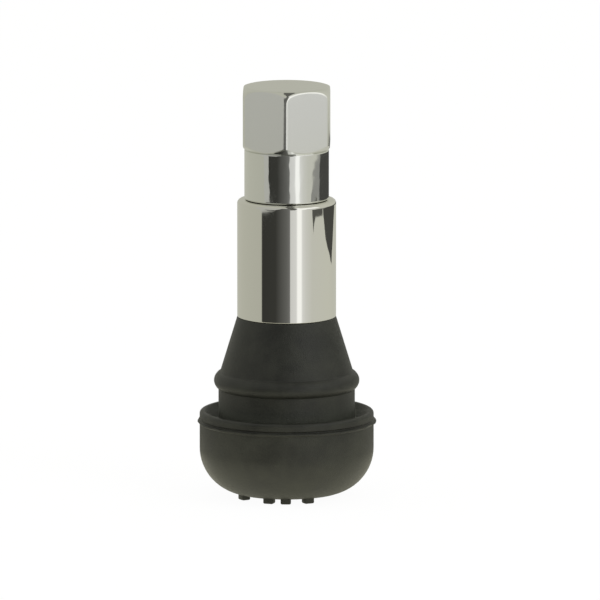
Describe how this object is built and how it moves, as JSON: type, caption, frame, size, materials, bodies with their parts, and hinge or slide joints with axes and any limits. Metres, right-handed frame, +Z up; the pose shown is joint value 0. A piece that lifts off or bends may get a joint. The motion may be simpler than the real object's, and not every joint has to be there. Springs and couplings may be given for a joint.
{
  "type": "tyre valve",
  "caption": "Snap-in rubber tyre valve with a plated sleeve, a screw-on hexagon cap and a sprung core inside its brass stem.",
  "frame": {"origin": "middle of the stand-off pads under the bulb, on the stem's axis", "axes": "+Z up the stem towards the cap, -Y towards the picture's viewer"},
  "size_m": [0.02, 0.02, 0.0462],
  "materials": {
    "body_rubber": "matte, fine moulded grain",
    "stem_brass": "turned",
    "sleeve_chrome": "polished plating",
    "cap_chrome": "polished skirt, satin flats",
    "seal_rubber": "matte",
    "core_brass": "turned",
    "gasket_plastic": "smooth",
    "pin_steel": "drawn",
    "spring_steel": "drawn"
  },
  "bodies": {
    "valve_body": {"rubber_body": "body_rubber", "valve_stem": "stem_brass", "chrome_sleeve": "sleeve_chrome", "core_plug": "core_brass", "core_barrel": "core_brass", "barrel_gasket": "gasket_plastic", "core_spring": "spring_steel"},
    "cap_seal": {"cap_seal": "seal_rubber"},
    "cap": {"cap_shell": "cap_chrome"},
    "pin": {"core_pin": "pin_steel", "pin_collar": "core_brass", "seat_cup": "core_brass", "seat_washer": "seal_rubber"}
  },
  "joints": [
    {"name": "cap_rise", "type": "slide", "parent": "valve_body", "child": "cap_seal", "axis": [0, 0, 1], "range_m": [0, 0.00953]},
    {"name": "cap_turn", "type": "hinge", "parent": "cap_seal", "child": "cap", "pos_m": [0, 0, 0.04], "axis": [0, 0, 1], "range_deg": [0, 4321]},
    {"name": "core_press", "type": "slide", "parent": "valve_body", "child": "pin", "axis": [0, 0, -1], "range_m": [0, 0.0012], "stiffness_N_per_m": 400, "deforming": ["core_spring"]}
  ],
  "couplings": [
    {"joint": "cap_turn", "follows": "cap_rise", "rad_per_m": 7915.8}
  ]
}
